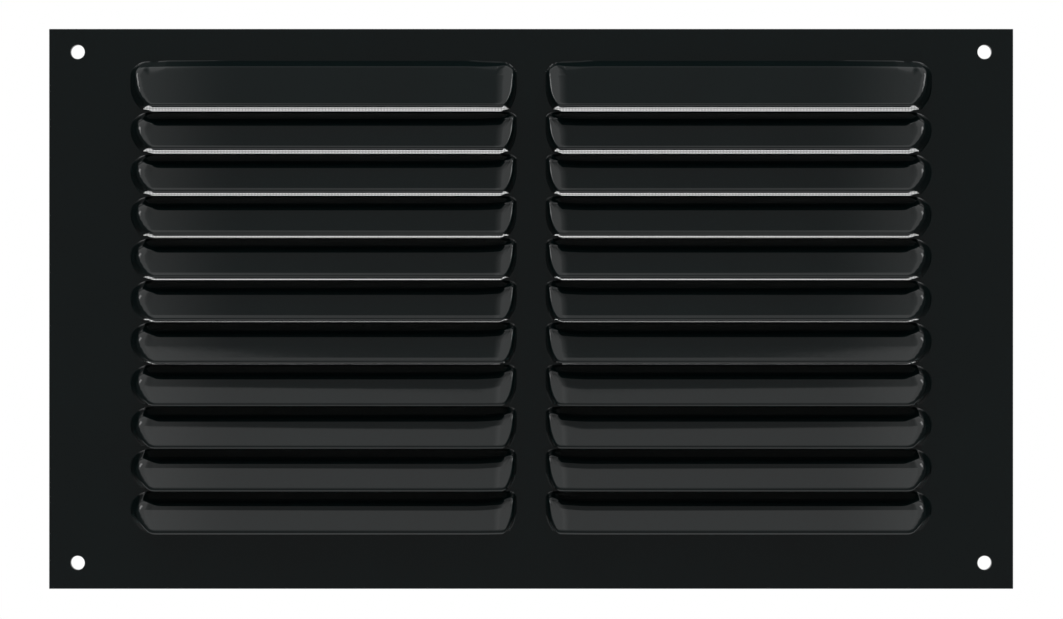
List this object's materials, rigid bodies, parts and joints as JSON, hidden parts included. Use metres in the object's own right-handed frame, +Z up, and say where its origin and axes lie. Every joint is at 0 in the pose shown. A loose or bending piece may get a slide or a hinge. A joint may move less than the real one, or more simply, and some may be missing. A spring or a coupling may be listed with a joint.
{
  "type": "louvred air grille",
  "caption": "Rectangular pressed-metal air grille with two columns of forward-standing louvres, corner screw holes and a gauze screen clamped behind.",
  "frame": {"origin": "middle of the four screw holes, on the wall side of the plate", "axes": "+X to the right seen from the front, +Y into the wall, +Z up; the front and its louvres face -Y"},
  "size_m": [0.26, 0.0132, 0.151],
  "materials": {
    "gloss_black": "deep gloss black powder coat with a faint green-blue cast",
    "screen_gauze": "charcoal fine woven glass-fibre gauze",
    "strip_steel": "galvanised, dull, with a fine spangle",
    "pin_steel": "copper-flashed mild steel",
    "washer_steel": "zinc-plated spring steel"
  },
  "bodies": {
    "root": {"louvre_plate": "gloss_black", "insect_screen": "screen_gauze", "screen_strip_top": "strip_steel", "screen_strip_bottom": "strip_steel", "screen_strip_left": "strip_steel", "screen_strip_right": "strip_steel", "weld_pins": "pin_steel", "push_washers": "washer_steel"}
  },
  "joints": []
}
